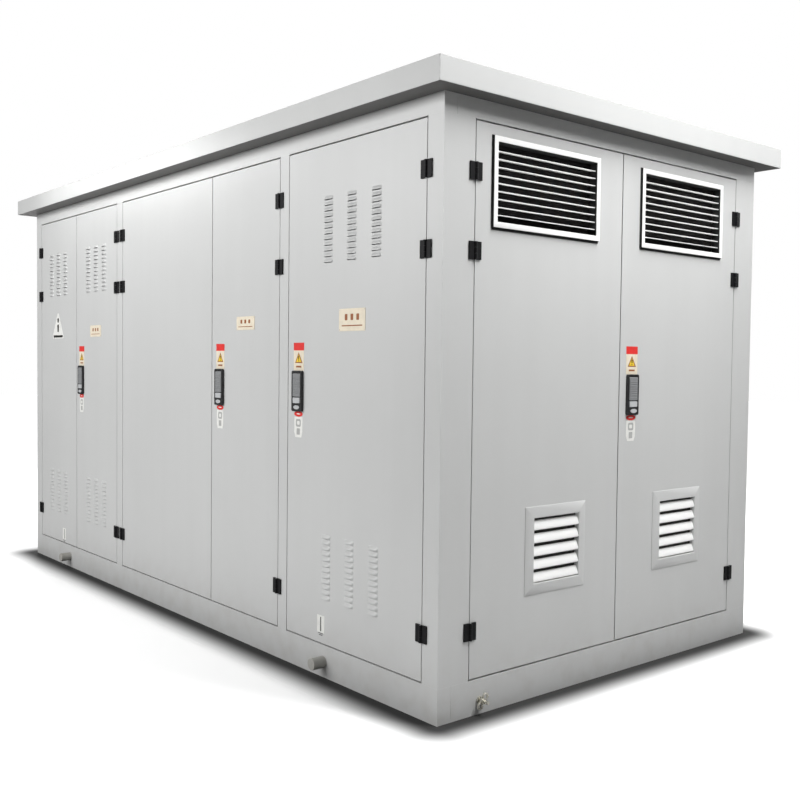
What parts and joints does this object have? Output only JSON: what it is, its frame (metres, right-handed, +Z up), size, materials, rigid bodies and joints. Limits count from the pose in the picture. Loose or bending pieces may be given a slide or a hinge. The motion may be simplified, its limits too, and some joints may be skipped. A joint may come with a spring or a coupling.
{
  "type": "compact transformer substation",
  "caption": "Box-shaped metal housing on a channel base with overhanging roof, hinged doors, louvres and swing handles, holding a transformer and switchgear.",
  "frame": {"origin": "on the ground at the middle of the housing", "axes": "+X along the housing to the louvred end doors, -Y to the face with the side doors, +Z up"},
  "size_m": [4.09, 2.156, 2.327],
  "materials": {
    "housing_paint": "fine-texture powder coat",
    "roof_paint": "fine-texture powder coat",
    "soffit_paint": "matt paint",
    "floor_steel": "chequered, painted",
    "inner_sheet": "galvanised",
    "hinge_black": "black die-cast, semi-gloss",
    "pin_steel": "turned",
    "seal_rubber": "matt",
    "handle_black": "black, satin",
    "lever_grey": "satin grey",
    "button_grey": "light grey",
    "grille_white": "light powder coat",
    "trunnion_paint": "worn primer",
    "earth_metal": "zinc plated",
    "tank_paint": "semi-gloss grey",
    "core_steel": "laminated",
    "winding_copper": "enamelled copper",
    "porcelain": "brown glaze",
    "knob_black": "satin",
    "knob_red": "gloss",
    "cabinet_paint": "fine texture",
    "cable_red": "smooth",
    "breaker_grey": "moulded",
    "fuse_ivory": "moulded",
    "label_print": "printed foil",
    "air_filter": "fibre mat",
    "busbar_copper": "bare copper"
  },
  "bodies": {
    "enclosure": {"base_frame": "housing_paint", "floor_plates": "floor_steel", "frame_posts": "housing_paint", "frame_headers": "housing_paint", "rear_panels": "housing_paint", "left_end_panel": "housing_paint", "partition_walls": "inner_sheet", "roof_soffit": "soffit_paint", "roof_cover": "roof_paint", "lifting_trunnions": "trunnion_paint", "earth_stud": "earth_metal", "frame_hinge_leaves": "hinge_black", "hinge_pins": "pin_steel", "door_seals": "seal_rubber", "transformer_tank": "tank_paint", "transformer_lid": "tank_paint", "transformer_core": "core_steel", "transformer_windings": "winding_copper", "hv_bushings": "porcelain", "lv_bushings": "porcelain", "hv_switchgear": "cabinet_paint", "hv_cables": "cable_red", "lv_switchboard": "cabinet_paint", "main_breaker": "breaker_grey", "feeder_fuses": "fuse_ivory", "lv_busbars": "busbar_copper"},
    "door_a": {"door_a_panel": "housing_paint", "door_a_hinge_leaves": "hinge_black"},
    "door_b": {"door_b_panel": "housing_paint", "door_b_hinge_leaves": "hinge_black", "handle_b_plate": "handle_black"},
    "door_c": {"door_c_panel": "housing_paint", "door_c_hinge_leaves": "hinge_black"},
    "door_d": {"door_d_panel": "housing_paint", "door_d_hinge_leaves": "hinge_black", "handle_d_plate": "handle_black"},
    "door_e": {"door_e_panel": "housing_paint", "door_e_hinge_leaves": "hinge_black", "handle_e_plate": "handle_black"},
    "door_f": {"door_f_panel": "housing_paint", "door_f_hinge_leaves": "hinge_black", "door_f_grille": "grille_white", "door_f_louvre_window": "grille_white"},
    "door_g": {"door_g_panel": "housing_paint", "door_g_hinge_leaves": "hinge_black", "handle_g_plate": "handle_black", "door_g_grille": "grille_white", "door_g_louvre_window": "grille_white"},
    "lever_b": {"handle_b_lever": "lever_grey"},
    "button_b": {"handle_b_button": "button_grey"},
    "lever_d": {"handle_d_lever": "lever_grey"},
    "button_d": {"handle_d_button": "button_grey"},
    "lever_e": {"handle_e_lever": "lever_grey"},
    "button_e": {"handle_e_button": "button_grey"},
    "lever_g": {"handle_g_lever": "lever_grey"},
    "button_g": {"handle_g_button": "button_grey"},
    "tap_knob": {"tap_changer_knob": "knob_black"},
    "hv_cable_switch": {"hv_cable_knob": "knob_red"},
    "hv_feed_switch": {"hv_feed_knob": "knob_red"},
    "breaker_handle": {"main_breaker_handle": "knob_black"}
  },
  "joints": [
    {"name": "door_a_hinge", "type": "hinge", "parent": "enclosure", "child": "door_a", "pos_m": [-1.879, -0.99, 1.15], "axis": [0, 0, -1], "range_deg": [0, 120]},
    {"name": "door_b_hinge", "type": "hinge", "parent": "enclosure", "child": "door_b", "pos_m": [-0.718, -0.99, 1.15], "axis": [0, 0, 1], "range_deg": [0, 90]},
    {"name": "door_c_hinge", "type": "hinge", "parent": "enclosure", "child": "door_c", "pos_m": [-0.643, -0.99, 1.15], "axis": [0, 0, -1], "range_deg": [0, 90]},
    {"name": "door_d_hinge", "type": "hinge", "parent": "enclosure", "child": "door_d", "pos_m": [0.937, -0.99, 1.15], "axis": [0, 0, 1], "range_deg": [0, 120]},
    {"name": "door_e_hinge", "type": "hinge", "parent": "enclosure", "child": "door_e", "pos_m": [1.879, -0.99, 1.15], "axis": [0, 0, 1], "range_deg": [0, 120]},
    {"name": "door_f_hinge", "type": "hinge", "parent": "enclosure", "child": "door_f", "pos_m": [1.972, -0.832, 1.15], "axis": [0, 0, -1], "range_deg": [0, 120]},
    {"name": "door_g_hinge", "type": "hinge", "parent": "enclosure", "child": "door_g", "pos_m": [1.972, 0.832, 1.15], "axis": [0, 0, 1], "range_deg": [0, 120]},
    {"name": "lever_b_swing", "type": "hinge", "parent": "door_b", "child": "lever_b", "pos_m": [-1.218, -0.991, 1.219], "axis": [-1, 0, 0], "range_deg": [0, 35]},
    {"name": "button_b_push", "type": "slide", "parent": "door_b", "child": "button_b", "axis": [0, 1, 0], "range_m": [0, 0.003], "stiffness_N_per_m": 600},
    {"name": "lever_d_swing", "type": "hinge", "parent": "door_d", "child": "lever_d", "pos_m": [0.4355, -0.991, 1.219], "axis": [-1, 0, 0], "range_deg": [0, 35]},
    {"name": "button_d_push", "type": "slide", "parent": "door_d", "child": "button_d", "axis": [0, 1, 0], "range_m": [0, 0.003], "stiffness_N_per_m": 600},
    {"name": "lever_e_swing", "type": "hinge", "parent": "door_e", "child": "lever_e", "pos_m": [1.087, -0.991, 1.219], "axis": [-1, 0, 0], "range_deg": [0, 35]},
    {"name": "button_e_push", "type": "slide", "parent": "door_e", "child": "button_e", "axis": [0, 1, 0], "range_m": [0, 0.003], "stiffness_N_per_m": 600},
    {"name": "lever_g_swing", "type": "hinge", "parent": "door_g", "child": "lever_g", "pos_m": [1.973, 0.0805, 1.219], "axis": [0, -1, 0], "range_deg": [0, 35]},
    {"name": "button_g_push", "type": "slide", "parent": "door_g", "child": "button_g", "axis": [-1, 0, 0], "range_m": [0, 0.003], "stiffness_N_per_m": 600},
    {"name": "tap_changer_turn", "type": "hinge", "parent": "enclosure", "child": "tap_knob", "pos_m": [0.14575, 0.4, 1.206], "axis": [0, 0, 1], "range_deg": [0, 144]},
    {"name": "hv_cable_switch_turn", "type": "hinge", "parent": "enclosure", "child": "hv_cable_switch", "pos_m": [-1.4955, -0.758, 1.214], "axis": [0, 1, 0], "range_deg": [0, 90]},
    {"name": "hv_feed_switch_turn", "type": "hinge", "parent": "enclosure", "child": "hv_feed_switch", "pos_m": [-1.0155, -0.758, 1.214], "axis": [0, 1, 0], "range_deg": [0, 90]},
    {"name": "main_breaker_turn", "type": "hinge", "parent": "enclosure", "child": "breaker_handle", "pos_m": [1.403, 0, 1.48], "axis": [1, 0, 0], "range_deg": [0, 90]}
  ]
}
